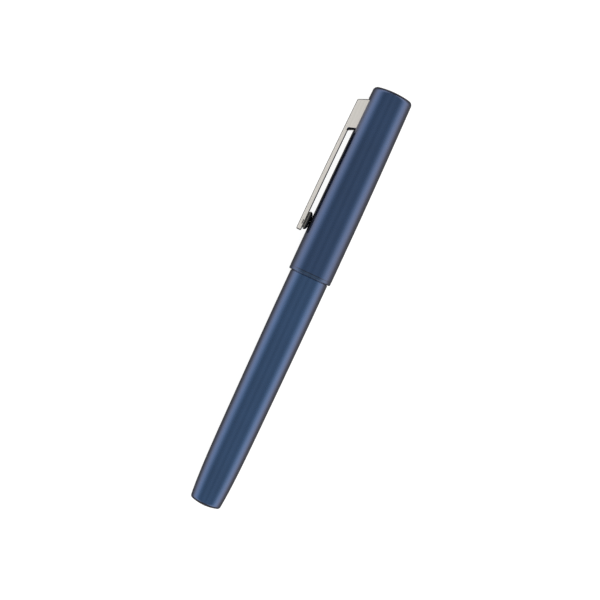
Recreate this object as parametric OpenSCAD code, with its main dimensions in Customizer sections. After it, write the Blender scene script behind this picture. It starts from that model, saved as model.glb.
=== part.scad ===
// Capped rollerball pen: aluminium barrel and cap, sprung steel clip, screw-in grip section
// and a replaceable capillary refill.
//
// Every part is drawn upright in pen coordinates, in millimetres: Z runs along the pen's axis
// from the barrel's tail (0) to the top of the cap (pen_l), and the clip is on the +X side.
// lay() then puts the pen down on its side, with the cap towards -X, resting on the cap and
// on the edge of the clip, as a capped pen lies on a table.

/* [Pen] */
// Length of the capped pen
pen_l = 142; // [138:0.5:146]
// Length of the cap, from its mouth to its top
cap_l = 63.5; // [62.5:0.5:65]
// Largest outer radius of the cap
cap_r = 7.04; // [7.00:0.01:7.20]
// Outer radius of the barrel at the cap's mouth
barrel_r = 6.28; // [6.20:0.01:6.30]
// Wall of the drawn aluminium tubes
tube_wall = 0.64; // [0.60:0.02:0.66]

/* [Clip] */
// Width of the clip's arm across the pen, just below its root
clip_w = 5.4; // [5.0:0.1:5.6]
// Width of the clip's root, where it enters the cap
clip_root_w = 4.8; // [4.6:0.1:5.0]
// Distance from the pen's axis to the clip's outer face at its tip
clip_reach = 10.19; // [9.8:0.01:10.4]
// Distance from the pen's axis to the inner face of the clip's arm at its tip
clip_inner = 8.56; // [8.45:0.01:8.70]

/* [Section] */
// Radius of the grip at the barrel
grip_r = 5.6; // [5.5:0.02:5.6]
// Radius of the grip at the nose cone
grip_front_r = 4.94; // [4.8:0.02:5.0]
// Pitch radius of the thread that holds the section in the barrel
thread_r = 4.45; // [4.40:0.01:4.47]

/* [Refill] */
// Outer radius of the refill's tube
refill_r = 3.1; // [3.0:0.05:3.15]
// Radius of the writing ball
ball_r = 0.35; // [0.30:0.05:0.35]

/* [Hidden] */
$fn = 96;
eps = 0.01;

// Fits, on the radius
glue_gap = 0.01;
slip_gap = 0.03;
run_gap = 0.05;

// ---- barrel ----
cap_mouth_z = pen_l - cap_l;
barrel_face_z = cap_mouth_z + 2.1;      // front face, inside the cap's mouth
barrel_step_z = cap_mouth_z - 0.2;      // the tenon starts just outside the mouth
tenon_r = barrel_r - 0.18;
barrel_straight = 12;                   // plain cylinder behind the tenon
barrel_taper_z = barrel_step_z - barrel_straight;
barrel_taper = 0.546;                   // how much the long taper takes off the radius
barrel_tuck = 0.873;                    // how much the tail's tuck takes off it
tail_dome_r = 14;
tail_corner_r = 1.05;
tail_wall = 1.2;
insert_l = 12;
insert_r = 5.5;
insert_z = barrel_face_z - insert_l;
thread_pitch = 1;
thread_turns = 7;                       // turns of the section before its thread runs out
thread_z = barrel_face_z - thread_turns * thread_pitch;

// ---- grip section ----
ring_gap = 0.8;                         // the groove that the O-ring fills
trim_z = barrel_face_z + ring_gap;
trim_l = 1.5;
trim_r = 5.95;
grip_z = trim_z + trim_l;
grip_l = 41;
nose_z = grip_z + grip_l;
nose_l = 5.7;
nose_tip_r = 1.75;
nose_bore_r = 1.42;
o_ring_cord_r = ring_gap / 2 - eps;
neck_r = thread_r - 0.15;               // the core's neck inside the O-ring
core_r = 4.8;
core_front_r = 4.2;
core_step_z = grip_z + 15;
core_bore_r = refill_r + 0.15;
spigot_r = 3.4;
spigot_l = 5;
detent_z = grip_z + 4.2;                // the groove that the cap's snap ring drops into
detent_depth = 0.15;

// ---- refill ----
ball_reach = 3.25;                      // how far the ball stands out of the nose cone
tip_z = nose_z + nose_l + ball_reach;
refill_l = 111;
refill_z = tip_z - refill_l;
refill_shoulder_z = tip_z - 23.5;
refill_wall = 0.25;
refill_nose_r = 2.5;
feed_r = 0.6;
tip_collar_r = 1.15;
ball_z = tip_z - ball_r;

// ---- refill spring and its seat ----
spring_seat_z = 8;
spring_l = refill_z - spring_seat_z - 2 * eps;
spring_r = 2.62;
spring_wire_r = 0.25;

// ---- cap ----
cap_taper_z = 96;
cap_taper = 0.48;
cap_dome_r = 27;
cap_corner_r = 1.5;
cap_bore_r = cap_r - tube_wall;
cap_roof = 1;
lip_l = 1.03;
lip_drop = 0.52;
slot_w = clip_root_w + 0.2;
slot_z0 = pen_l - 16.25;
slot_z1 = pen_l - 4.78;
liner_z0 = cap_mouth_z + 6;
liner_z1 = pen_l - 20.5;
liner_r = grip_r + 0.12;
carrier_z1 = pen_l - cap_roof - 1.1;
ring_wire_r = 0.25;
ring_r = grip_r + 0.06;
seal_r = 2.6;
seal_l = 4.6;
seal_z = nose_z + nose_l + slip_gap;

// ---- clip ----
clip_tip_z = pen_l - 51.35;
clip_top_z = pen_l - 6.68;
clip_bend = 0.55;                       // how far the outer face leans in towards its top
clip_inner_bend = 0.42;                 // and the inner face
clip_tip_taper = 0.8;                   // how much narrower it is at its tip
clip_slant = 24;                        // slope of the clip's top and of its window, in degrees
window_z = pen_l - 16.45;
clip_shoulder_z = window_z - 3.5;       // where the arm has its full width
pin_x = 4.6;
pin_z = pen_l - 7.8;
pin_r = 0.5;
pin_l = 4;
tang_w = 2.6;
heel_z = pen_l - 5.1;                   // where the clip's spring pushes on the tang
heel_x = pin_x - 1.3;
clip_spring_l = 6;
clip_spring_r = 1;
clip_spring_wire_r = 0.22;
glide_z = clip_tip_z + 3.7;
glide_l = 6;
glide_w = 3;
glide_flange = 0.4;

// Points of an arc about c, from angle a0 to angle a1, in n steps.
function arc(c, r, a0, a1, n) =
    [for (i = [0:n]) let (a = a0 + (a1 - a0) * i / n) c + r * [cos(a), sin(a)]];

// Outer radius of the barrel at height z: straight, then a long taper, then a tuck at the tail.
function barrel_at(z) =
    let (u = max(0, barrel_taper_z - z) / barrel_taper_z)
    barrel_r - barrel_taper * pow(u, 1.2) - barrel_tuck * pow(u, 8);

// Outer radius of the cap at height z: straight from the mouth, then tapering to the top.
function cap_at(z) =
    let (u = max(0, z - cap_taper_z) / (pen_l - 3 - cap_taper_z))
    cap_r - cap_taper * pow(u, 1.6);

// Radius of the grip at height z: it narrows towards the nose, faster at first.
function grip_at(z) =
    let (u = (z - grip_z) / grip_l)
    grip_r - (grip_r - grip_front_r) * (1.5 * u - 0.5 * u * u);

// Distance from the axis to the clip's outer face, and to the inner face of its arm, at height z.
function clip_lean(z) = pow((z - clip_tip_z) / (clip_top_z - clip_tip_z), 2);
function clip_at(z) = clip_reach - clip_bend * clip_lean(z);
function clip_inner_at(z) = clip_inner - clip_inner_bend * clip_lean(z);

// Half the clip's width at height z: it widens below the root, then tapers down to the tip.
function clip_half_w(z) = lookup(z, [
    [clip_tip_z, (clip_w - clip_tip_taper) / 2], [clip_shoulder_z, clip_w / 2],
    [window_z, clip_root_w / 2],
]);

// The pen lying down: how far the clip dips below the axis when its edge touches the table, and
// how far it reaches to the side.
clip_heights = [for (i = [2:40]) clip_tip_z + (clip_top_z - clip_tip_z) * i / 40];
clip_dip = min([
    for (z = clip_heights)
        let (x = clip_at(z), w = clip_half_w(z))
        asin(cap_r / norm([x, w])) - atan(w / x),
]);
clip_side = max([
    for (z = clip_heights)
        clip_at(z) * cos(clip_dip) + clip_half_w(z) * sin(clip_dip),
]);
axis_y = (clip_side - cap_r) / 2;

// Lays the upright pen on its side, centred over the origin and standing on Z = 0.
module lay() {
    translate([pen_l / 2, axis_y, cap_r])
        rotate([90 + clip_dip, 0, 0])
            rotate([0, -90, 0])
                children();
}

// Points [f(z) - d, z] up a curved wall from z0 to z1, in n steps.
function barrel_wall(z0, z1, n, d = 0) =
    [for (i = [0:n]) let (z = z0 + (z1 - z0) * i / n) [barrel_at(z) - d, z]];
function cap_wall(z0, z1, n, d = 0) =
    [for (i = [0:n]) let (z = z0 + (z1 - z0) * i / n) [cap_at(z) - d, z]];
function grip_wall(z0, z1, n) =
    [for (i = [0:n]) let (z = z0 + (z1 - z0) * i / n) [grip_at(z), z]];

// A turned part from the points of its half outline, as [radius, z].
module turned(points) {
    rotate_extrude()
        polygon(points);
}

// A plain ring or tube.
module tube(r_out, r_in, z0, z1) {
    turned([[r_in, z0], [r_out, z0], [r_out, z1], [r_in, z1]]);
}

// A coil spring of round wire about Z, from z0 to z1, with closed ends.
module coil(r, wire_r, z0, z1, turns, sides = 8, steps = 22) {
    count = turns * steps;
    lift = z1 - z0 - 2 * wire_r;
    dead = 1 / turns;                   // share of the coil in each closed end
    function rise(u) =
        let (flat = 2.2 * wire_r)
        u < dead ? flat * u / dead
        : u > 1 - dead ? lift - flat * (1 - u) / dead
        : flat + (lift - 2 * flat) * (u - dead) / (1 - 2 * dead);
    points = [
        for (i = [0:count])
            let (u = i / count, a = 360 * turns * u)
            for (j = [0:sides - 1])
                let (b = 360 * j / sides, q = r + wire_r * cos(b))
                [q * cos(a), q * sin(a), z0 + wire_r + rise(u) + wire_r * sin(b)],
    ];
    skin = [
        for (i = [0:count - 1], j = [0:sides - 1])
            let (k = (j + 1) % sides)
            [i * sides + j, (i + 1) * sides + j, (i + 1) * sides + k, i * sides + k],
    ];
    start = [for (j = [0:sides - 1]) j];
    finish = [for (j = [sides - 1:-1:0]) count * sides + j];
    polyhedron(points, concat([start], skin, [finish]));
}

// ---- barrel ----

module barrel_shell() {
    corner_x = barrel_at(1.5) - tail_corner_r;
    corner_z = tail_dome_r - sqrt(pow(tail_dome_r - tail_corner_r, 2) - corner_x * corner_x);
    dome_a = atan2(corner_z - tail_dome_r, corner_x);
    bore_z = tail_wall + 1.6;
    color("midnightblue")
        turned(concat(
            [[0, tail_wall]],
            [[0, 0]],
            arc([0, tail_dome_r], tail_dome_r, -90 + (dome_a + 90) / 4, dome_a, 3),
            arc([corner_x, corner_z], tail_corner_r, dome_a + 12, -6, 5),
            barrel_wall(2.2, barrel_taper_z, 22),
            [[barrel_r, barrel_step_z], [tenon_r, barrel_step_z],
             [tenon_r, barrel_face_z - 0.2], [tenon_r - 0.2, barrel_face_z],
             [insert_r + glue_gap, barrel_face_z], [insert_r + glue_gap, insert_z]],
            barrel_wall(insert_z, bore_z, 14, tube_wall + 0.1),
            [[barrel_at(bore_z) - tube_wall - 1, tail_wall]]
        ));
}

module thread_insert() {
    bore = thread_r + run_gap;
    color("goldenrod")
        turned([
            [bore, insert_z], [insert_r - 0.2, insert_z], [insert_r, insert_z + 0.2],
            [insert_r, barrel_face_z], [bore + 0.15, barrel_face_z], [bore, barrel_face_z - 0.15],
        ]);
}

module tail_plug() {
    cup_r = spring_r + spring_wire_r + 0.12;
    cup_l = 3;
    post_r = 1.7;
    foot_z = tail_wall + eps;
    side_z = tail_wall + 1.9;
    color("dimgray")
        difference() {
            union() {
                turned(concat(
                    [[0, foot_z], [barrel_at(side_z) - tube_wall - 1.2, foot_z]],
                    barrel_wall(side_z, spring_seat_z + cup_l, 4, tube_wall + 0.14),
                    [[cup_r, spring_seat_z + cup_l], [cup_r, spring_seat_z], [0, spring_seat_z]]
                ));
                translate([0, 0, spring_seat_z - eps])
                    cylinder(r1 = post_r, r2 = post_r - 0.3, h = 5);
            }
            translate([0, 0, tail_wall - 1])
                cylinder(r = 0.5, h = spring_seat_z + 6);
        }
}

module refill_spring() {
    color("silver")
        translate([0, 0, eps])
            coil(spring_r, spring_wire_r, spring_seat_z, spring_seat_z + spring_l, 9);
}

// ---- grip section ----

module thread_o_ring() {
    color("black")
        translate([0, 0, barrel_face_z + ring_gap / 2])
            rotate_extrude()
                translate([neck_r + o_ring_cord_r + slip_gap, 0])
                    circle(r = o_ring_cord_r);
}

module section_core() {
    thread_end_z = barrel_face_z - 0.7;
    seat_z = refill_shoulder_z + eps;
    front_bore_r = refill_nose_r + 0.15;
    spigot_z = nose_z - spigot_l;
    color("darkslategray")
        turned([
            [core_bore_r, thread_z], [thread_r - 0.4, thread_z],
            [thread_r, thread_z + 0.4], [thread_r, thread_end_z],
            [neck_r, thread_end_z + 0.15], [neck_r, trim_z],
            [core_r, trim_z], [core_r, core_step_z],
            [core_front_r, core_step_z], [core_front_r, spigot_z],
            [spigot_r, spigot_z], [spigot_r, spigot_z + spigot_l - 0.6],
            [front_bore_r, spigot_z + spigot_l - 0.6],
            [front_bore_r, seat_z], [core_bore_r, seat_z],
        ]);
}

module trim_ring() {
    bevel = 0.3;
    color("lightgray")
        turned([
            [core_r + glue_gap, trim_z], [trim_r - bevel, trim_z], [trim_r, trim_z + bevel],
            [trim_r, trim_z + trim_l - bevel], [trim_r - bevel, grip_z], [core_r + glue_gap, grip_z],
        ]);
}

module grip_shell() {
    groove_w = 0.9;
    color("midnightblue")
        turned(concat(
            [[core_r + glue_gap, grip_z]],
            [[grip_r - 0.15, grip_z]],
            grip_wall(grip_z + 0.15, detent_z - groove_w / 2, 1),
            [[grip_at(detent_z) - detent_depth, detent_z - groove_w / 4],
             [grip_at(detent_z) - detent_depth, detent_z + groove_w / 4]],
            grip_wall(detent_z + groove_w / 2, nose_z - 0.1, 9),
            [[grip_front_r - 0.1, nose_z], [core_front_r + glue_gap, nose_z],
             [core_front_r + glue_gap, core_step_z + eps], [core_r + glue_gap, core_step_z + eps]]
        ));
}

module nose_cone() {
    bulge = 0.25;
    steps = 6;
    sleeve_z = nose_z - spigot_l + eps;
    side = [
        for (i = [0:steps])
            let (u = i / steps)
            [grip_front_r - 0.08 + (nose_tip_r - grip_front_r + 0.08) * u + bulge * sin(180 * u),
             nose_z + 0.12 + (nose_l - 0.27) * u],
    ];
    color("lightgray")
        turned(concat(
            [[spigot_r + glue_gap, sleeve_z], [core_front_r, sleeve_z], [core_front_r, nose_z + eps],
             [grip_front_r - 0.2, nose_z + eps]],
            side,
            [[nose_tip_r - 0.15, nose_z + nose_l], [nose_bore_r, nose_z + nose_l],
             [nose_bore_r, nose_z + nose_l - 1.2], [refill_nose_r + 0.35, nose_z + 0.2],
             [spigot_r + glue_gap, nose_z - 0.5]]
        ));
}

// ---- refill ----

module refill_end_plug() {
    flange = 1.2;
    color("white")
        difference() {
            union() {
                translate([0, 0, refill_z])
                    cylinder(r = refill_r, h = flange);
                translate([0, 0, refill_z + flange - eps])
                    cylinder(r = refill_r - refill_wall - glue_gap, h = 4);
            }
            translate([0, 0, refill_z - 1])
                cylinder(r = 0.4, h = 8);
        }
}

module refill_tube() {
    color("silver")
        tube(refill_r, refill_r - refill_wall, refill_z + 1.2, refill_shoulder_z - 1.5);
}

module ink_reservoir() {
    rod_r = refill_r - refill_wall - slip_gap;
    z0 = refill_z + 6;
    z1 = refill_shoulder_z - 10;
    color("royalblue")
        difference() {
            translate([0, 0, z0])
                cylinder(r = rod_r, h = z1 - z0);
            translate([0, 0, z1 - 3])
                cylinder(r = feed_r + eps, h = 4);
        }
}

module refill_nose() {
    plug_z = refill_shoulder_z - 9.5;
    front_z = nose_z + nose_l - 2.3;
    color("black")
        turned([
            [feed_r + slip_gap, plug_z], [refill_r - refill_wall - glue_gap, plug_z],
            [refill_r - refill_wall - glue_gap, refill_shoulder_z - 1.5],
            [refill_r, refill_shoulder_z - 1.5], [refill_r, refill_shoulder_z],
            [refill_nose_r, refill_shoulder_z], [refill_nose_r, nose_z - 2],
            [tip_collar_r + 0.15, front_z], [0.9, front_z], [0.9, front_z - 3],
            [feed_r + slip_gap, front_z - 3],
        ]);
}

module ink_feed() {
    z0 = refill_shoulder_z - 13 + eps;
    z1 = tip_z - 3.4;
    color("royalblue")
        translate([0, 0, z0])
            cylinder(r = feed_r, h = z1 - z0);
}

module tip_sleeve() {
    front_z = nose_z + nose_l - 2.3;
    rim_z = ball_z + 0.08;
    seat_r = ball_r + 0.02;
    color("gainsboro")
        difference() {
            turned([
                [0, front_z - 2.9], [0.88, front_z - 2.9], [0.88, front_z + eps],
                [tip_collar_r, front_z + eps], [tip_collar_r, front_z + 2.3],
                [0.8, front_z + 2.8], [ball_r + 0.12, rim_z], [0, rim_z],
            ]);
            translate([0, 0, front_z - 4])
                cylinder(r = feed_r + slip_gap, h = tip_z - 3.35 - front_z + 4);
            translate([0, 0, tip_z - 4])
                cylinder(r = 0.18, h = 4);
            translate([0, 0, ball_z])
                sphere(r = seat_r);
        }
}

module writing_ball() {
    color("slategray")
        translate([0, 0, ball_z])
            sphere(r = ball_r);
}

// ---- cap ----

// A split wire ring that lies in the inner cap's groove and clicks into the grip's.
module snap_ring() {
    split = 24;
    color("silver")
        translate([0, 0, detent_z])
            rotate([0, 0, 180 + split / 2])
                rotate_extrude(angle = 360 - split)
                    translate([ring_r, 0])
                        circle(r = ring_wire_r);
}

// The opening for the clip's root, in the cap's side.
module clip_slot(x0, w, z0, z1) {
    translate([x0, -w / 2, z0])
        cube([cap_r + 1 - x0, w, z1 - z0]);
}

module cap_shell() {
    corner_x = cap_at(pen_l - 2) - cap_corner_r;
    dome_z = pen_l - cap_dome_r;
    corner_z = dome_z + sqrt(pow(cap_dome_r - cap_corner_r, 2) - corner_x * corner_x);
    dome_a = atan2(corner_z - dome_z, corner_x);
    lip_z = cap_mouth_z + lip_l;
    lip_steps = 6;
    lip = [
        for (i = [0:lip_steps])
            let (a = 90 * i / lip_steps)
            [cap_r - 0.03 - lip_drop * (1 - sin(a)), cap_mouth_z + lip_l * (1 - cos(a)) * 0.92],
    ];
    roof_z = pen_l - cap_roof;
    color("midnightblue")
        difference() {
            turned(concat(
                [[cap_bore_r, cap_mouth_z + 0.1], [cap_bore_r + 0.08, cap_mouth_z]],
                lip,
                [[cap_r - 0.09, lip_z - 0.02], [cap_r - 0.09, lip_z + 0.04], [cap_r, lip_z + 0.12]],
                cap_wall(cap_taper_z, corner_z, 12),
                arc([corner_x, corner_z], cap_corner_r, 12, dome_a, 6),
                arc([0, dome_z], cap_dome_r, dome_a + (90 - dome_a) / 2, 90, 1),
                [[0, roof_z], [cap_at(roof_z) - tube_wall - 1, roof_z]],
                cap_wall(roof_z - 1, cap_taper_z, 10, tube_wall)
            ));
            clip_slot(cap_bore_r - 2, slot_w, slot_z0, slot_z1);
        }
}

module inner_cap() {
    gap = slip_gap;
    groove = 0.5;
    groove_r = ring_r + ring_wire_r + slip_gap;
    color("dimgray")
        turned(concat(
            [[liner_r + 0.25, liner_z0], [cap_bore_r - gap - 0.2, liner_z0],
             [cap_bore_r - gap, liner_z0 + 0.2]],
            cap_wall(cap_taper_z, liner_z1, 5, tube_wall + gap),
            [[liner_r - 0.4, liner_z1], [liner_r - 0.4, core_step_z + 6], [liner_r, core_step_z + 3],
             [liner_r, detent_z + groove], [groove_r, detent_z + groove],
             [groove_r, detent_z - groove], [liner_r, detent_z - groove], [liner_r, liner_z0 + 0.25]]
        ));
}

module clip_carrier() {
    gap = slip_gap;
    nose_r = grip_front_r + 0.25;
    cone_z = nose_z + nose_l;
    tang_gap = (tang_w + 0.2) / 2;
    spring_x0 = heel_x - clip_spring_l - eps;
    spring_pocket_r = clip_spring_r + clip_spring_wire_r + 0.12;
    tang_slot_x = heel_x - 0.5;
    color("dimgray")
        difference() {
            turned(concat(
                [[nose_r, liner_z1 + eps]],
                cap_wall(liner_z1 + eps, carrier_z1, 5, tube_wall + gap),
                [[0, carrier_z1], [0, seal_z + seal_l + eps], [2, seal_z + seal_l + eps],
                 [2, seal_z + 1.4], [seal_r + glue_gap, seal_z + 1.4],
                 [seal_r + glue_gap, cone_z], [nose_r, nose_z + 0.6]]
            ));
            // the root of the clip, where it comes through the shell
            clip_slot(cap_bore_r - 1.1, slot_w + 0.1, slot_z0 - 0.2, slot_z1 + 0.6);
            // the tang, open to the top so that the carrier slides in past it
            translate([tang_slot_x, -tang_gap, slot_z0 + 3])
                cube([cap_r, 2 * tang_gap, pen_l]);
            // notches for the pin's ends, open to the top for the same reason
            translate([pin_x, 0, pin_z])
                rotate([90, 0, 0])
                    cylinder(r = pin_r + run_gap, h = pin_l + 0.3, center = true);
            translate([pin_x - pin_r - run_gap, -(pin_l + 0.3) / 2, pin_z])
                cube([2 * (pin_r + run_gap), pin_l + 0.3, pen_l]);
            // the clip spring's pocket
            translate([spring_x0, 0, heel_z])
                rotate([0, 90, 0])
                    cylinder(r = spring_pocket_r, h = 12);
        }
}

module tip_seal() {
    color("black")
        turned([
            [1.5, seal_z], [seal_r, seal_z], [seal_r, seal_z + 1.35], [1.95, seal_z + 1.35],
            [1.95, seal_z + seal_l], [0, seal_z + seal_l], [0, seal_z + seal_l - 0.9],
            [1.5, seal_z + seal_l - 0.9],
        ]);
}

module clip_spring() {
    color("silver")
        translate([heel_x - clip_spring_l, 0, heel_z])
            rotate([0, 90, 0])
                coil(clip_spring_r, clip_spring_wire_r, 0, clip_spring_l - eps, 7, 8, 18);
}

// ---- clip ----

// Side view of the clip: X is the distance from the pen's axis and Y the height.
module clip_side_view() {
    slope = tan(clip_slant);
    arm_top = clip_at(clip_top_z);
    root_x = cap_bore_r - 0.7;
    corner = 0.5;
    steps = 10;
    outer = [
        for (i = [0:steps])
            let (z = clip_tip_z + corner + (clip_top_z - clip_tip_z - corner) * i / steps)
            [clip_at(z), z],
    ];
    arm_end_z = window_z - 0.65;
    window_x = clip_inner_at(arm_end_z);
    inner = [
        for (i = [1:steps])
            let (z = arm_end_z + (clip_tip_z - arm_end_z) * i / steps)
            [clip_inner_at(z), z],
    ];
    polygon(concat(
        [[clip_reach - corner, clip_tip_z]],
        outer,
        [[arm_top - 0.15, clip_top_z + 0.12],
         [root_x, clip_top_z + (arm_top - root_x) * slope],
         [root_x, window_z + (window_x - root_x) * slope - 0.25]],
        arc([window_x - corner, arm_end_z], corner, 90 - clip_slant, 0, 4),
        inner
    ));
}

module clip() {
    tip_w = clip_half_w(clip_tip_z);
    color("lightgray")
        difference() {
            union() {
                intersection() {
                    rotate([90, 0, 0])
                        linear_extrude(height = clip_w, center = true)
                            clip_side_view();
                    // front view: the root, the shoulder, and a taper down to a tip with cut corners
                    rotate([90, 0, 90])
                        linear_extrude(height = clip_reach + 1)
                            polygon([
                                [-clip_root_w / 2, pen_l], [-clip_root_w / 2, window_z],
                                [-clip_w / 2, clip_shoulder_z],
                                [-tip_w, clip_tip_z + 0.6], [-tip_w + 0.6, clip_tip_z],
                                [tip_w - 0.6, clip_tip_z], [tip_w, clip_tip_z + 0.6],
                                [clip_w / 2, clip_shoulder_z],
                                [clip_root_w / 2, window_z], [clip_root_w / 2, pen_l],
                            ]);
                }
                // the tang, which carries the pin and the heel for the spring
                translate([0, tang_w / 2, 0])
                    rotate([90, 0, 0])
                        linear_extrude(height = tang_w)
                            polygon([
                                [cap_bore_r, pin_z - 3.2], [pin_x + 0.3, pin_z - 1.2],
                                [heel_x + 0.2, pin_z - 0.9], [heel_x, pin_z - 0.5],
                                [heel_x, heel_z + 1.2], [heel_x + 0.8, heel_z + 1.2],
                                [cap_bore_r - 0.5, clip_top_z + 1.6],
                                [cap_bore_r, clip_top_z + 1.3],
                            ]);
            }
            translate([pin_x, 0, pin_z])
                rotate([90, 0, 0])
                    cylinder(r = pin_r, h = 2 * clip_w, center = true);
        }
}

module clip_pin() {
    color("silver")
        translate([pin_x, 0, pin_z])
            rotate([90, 0, 0])
                cylinder(r = pin_r - eps / 2, h = pin_l, center = true);
}

// The black foot that slides on the cap: a flange against the arm, and a crowned runner.
module clip_glide() {
    crown_x = cap_r + slip_gap;
    runner_r = 13;                      // crown along the pen
    saddle = glide_l - 0.6;
    seat_x = clip_inner - slip_gap;
    color("black")
        union() {
            intersection() {
                translate([crown_x, -glide_w / 2 + 0.2, glide_z - saddle / 2])
                    cube([seat_x - crown_x, glide_w - 0.4, saddle]);
                translate([crown_x + runner_r, 0, glide_z])
                    rotate([90, 0, 0])
                        cylinder(r = runner_r, h = glide_w, center = true);
            }
            translate([seat_x - glide_flange, 0, glide_z])
                rotate([90, 0, 90])
                    linear_extrude(height = glide_flange) {
                        square([glide_w, glide_l - glide_w], center = true);
                        for (s = [-1, 1])
                            translate([0, s * (glide_l - glide_w) / 2])
                                circle(d = glide_w);
                    }
        }
}

lay() {
    barrel_shell();
    thread_insert();
    tail_plug();
    refill_spring();
    thread_o_ring();
    section_core();
    trim_ring();
    grip_shell();
    nose_cone();
    refill_end_plug();
    refill_tube();
    ink_reservoir();
    refill_nose();
    ink_feed();
    tip_sleeve();
    writing_ball();
    snap_ring();
    cap_shell();
    inner_cap();
    clip_carrier();
    tip_seal();
    clip_spring();
    clip();
    clip_glide();
    clip_pin();
}
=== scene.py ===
"""A capped rollerball pen lying on a pale surface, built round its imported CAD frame.

Pieces are drawn upright in pen coordinates, in millimetres: z runs along the pen's axis from the
barrel's tail to the top of the cap, r is the distance from the axis, and the clip is on the +X side.
LAY puts them where the frame says that the pen lies.
"""
import math

import bmesh
import bpy
from mathutils import Matrix, Vector


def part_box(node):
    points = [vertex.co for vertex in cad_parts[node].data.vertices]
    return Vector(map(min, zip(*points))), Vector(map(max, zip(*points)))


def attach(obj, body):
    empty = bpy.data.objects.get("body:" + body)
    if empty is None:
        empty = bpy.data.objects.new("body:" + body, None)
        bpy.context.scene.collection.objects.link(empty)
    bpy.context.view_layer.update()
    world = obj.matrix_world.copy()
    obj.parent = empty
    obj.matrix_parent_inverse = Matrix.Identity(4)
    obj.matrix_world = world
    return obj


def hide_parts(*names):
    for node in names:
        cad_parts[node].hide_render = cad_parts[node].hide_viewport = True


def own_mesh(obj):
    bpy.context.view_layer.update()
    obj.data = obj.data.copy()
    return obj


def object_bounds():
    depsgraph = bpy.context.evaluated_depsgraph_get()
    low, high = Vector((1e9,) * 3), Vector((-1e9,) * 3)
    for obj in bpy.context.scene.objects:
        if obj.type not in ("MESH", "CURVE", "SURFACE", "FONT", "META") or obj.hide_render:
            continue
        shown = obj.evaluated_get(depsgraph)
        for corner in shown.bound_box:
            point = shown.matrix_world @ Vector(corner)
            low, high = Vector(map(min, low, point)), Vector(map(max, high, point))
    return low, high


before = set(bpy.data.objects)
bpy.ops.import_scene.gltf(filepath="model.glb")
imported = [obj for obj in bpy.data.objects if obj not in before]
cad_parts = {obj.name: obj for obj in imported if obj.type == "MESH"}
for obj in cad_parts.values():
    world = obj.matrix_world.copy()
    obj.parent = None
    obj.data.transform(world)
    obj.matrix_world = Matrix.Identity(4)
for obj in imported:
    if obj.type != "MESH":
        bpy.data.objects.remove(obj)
cad_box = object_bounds()

# ---- where the pen lies, from the frame ----
MM = 0.001
box_lo, box_hi = cad_box
cap_lo, cap_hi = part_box("cap_shell")
pin_lo, pin_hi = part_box("clip_pin")
PEN_L = (box_hi.x - box_lo.x) / MM
AXIS = Vector((box_hi.x, (cap_lo.y + cap_hi.y) / 2, (cap_lo.z + cap_hi.z) / 2))
PIN = (pin_lo + pin_hi) / 2
DIP = math.atan2(AXIS.z - PIN.z, AXIS.y - PIN.y)
LAY = (
    Matrix.Translation(AXIS)
    @ Matrix.Rotation(math.pi / 2 + DIP, 4, "X")
    @ Matrix.Rotation(-math.pi / 2, 4, "Y")
    @ Matrix.Scale(MM, 4)
)
TO_CAP = Vector((-1, 0, 0))
TO_CLIP = Vector((0, -math.cos(DIP), -math.sin(DIP)))
TO_CAMERA = TO_CAP.cross(TO_CLIP)

# ---- camera: square on to the clip's side, rolled so that the cap points up and to the right ----
LEAN = math.radians(90 - 24.84)
LENS, SENSOR_W = 200, 36
FRAME_W = 187.5 * MM  # width of what the camera sees at the pen's axis
SHIFT_R, SHIFT_U = 0.257 * MM, -0.329 * MM  # the camera's aim, to the right of the pen's middle and up
cam_right = math.cos(LEAN) * TO_CAP - math.sin(LEAN) * TO_CLIP
cam_up = math.sin(LEAN) * TO_CAP + math.cos(LEAN) * TO_CLIP
camera_data = bpy.data.cameras.new("camera")
camera_data.lens = LENS
camera_data.sensor_width = SENSOR_W
camera_data.clip_start, camera_data.clip_end = 0.05, 20
camera = bpy.data.objects.new("camera", camera_data)
bpy.context.scene.collection.objects.link(camera)
middle = Vector(((box_lo.x + box_hi.x) / 2, AXIS.y, AXIS.z))
aim = middle + SHIFT_R * cam_right + SHIFT_U * cam_up
camera.matrix_world = Matrix.Translation(aim + TO_CAMERA * FRAME_W * LENS / SENSOR_W) @ Matrix(
    (cam_right, cam_up, TO_CAMERA)
).transposed().to_4x4()
bpy.context.scene.camera = camera
bpy.context.scene.view_settings.view_transform = "Standard"

# ---- sizes of the CAD parts, in millimetres ----
CAP_R = (cap_hi.z - cap_lo.z) / 2 / MM
CAP_L = (cap_hi.x - cap_lo.x) / MM
MOUTH_Z = PEN_L - CAP_L
BARREL_R = 6.28
WALL = 0.64
BARREL_WALL = WALL + 0.1
STEP_Z = MOUTH_Z - 0.2
TAPER_Z = STEP_Z - 12
BARREL_TAPER, TAPER_POWER = 0.546, 1.2  # the barrel's long taper, from TAPER_Z down to its tail
BARREL_TUCK, TUCK_POWER = 0.873, 8  # and how it tucks in just before the tail
FACE_Z = MOUTH_Z + 2.1  # the barrel's open end, inside the cap
TENON_R = BARREL_R - 0.18
INSERT_R, INSERT_L = 5.5, 12
INSERT_Z = FACE_Z - INSERT_L
THREAD_R, THREAD_DEPTH, PITCH, TURNS = 4.45, 0.22, 1.0, 7
TRIM_Z, TRIM_L, TRIM_R = FACE_Z + 0.8, 1.5, 5.95
GRIP_Z, GRIP_L = TRIM_Z + TRIM_L, 41
GRIP_R, GRIP_FRONT_R = 5.6, 4.94
NOSE_Z, NOSE_L = GRIP_Z + GRIP_L, 5.7
CORE_R, CORE_FRONT_R, CORE_STEP_Z = 4.8, 4.2, GRIP_Z + 15
DETENT_Z = GRIP_Z + 4.2  # the groove for the cap's snap ring
TIP_Z = NOSE_Z + NOSE_L + 3.25
REFILL_R, REFILL_Z = 3.1, TIP_Z - 111
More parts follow.
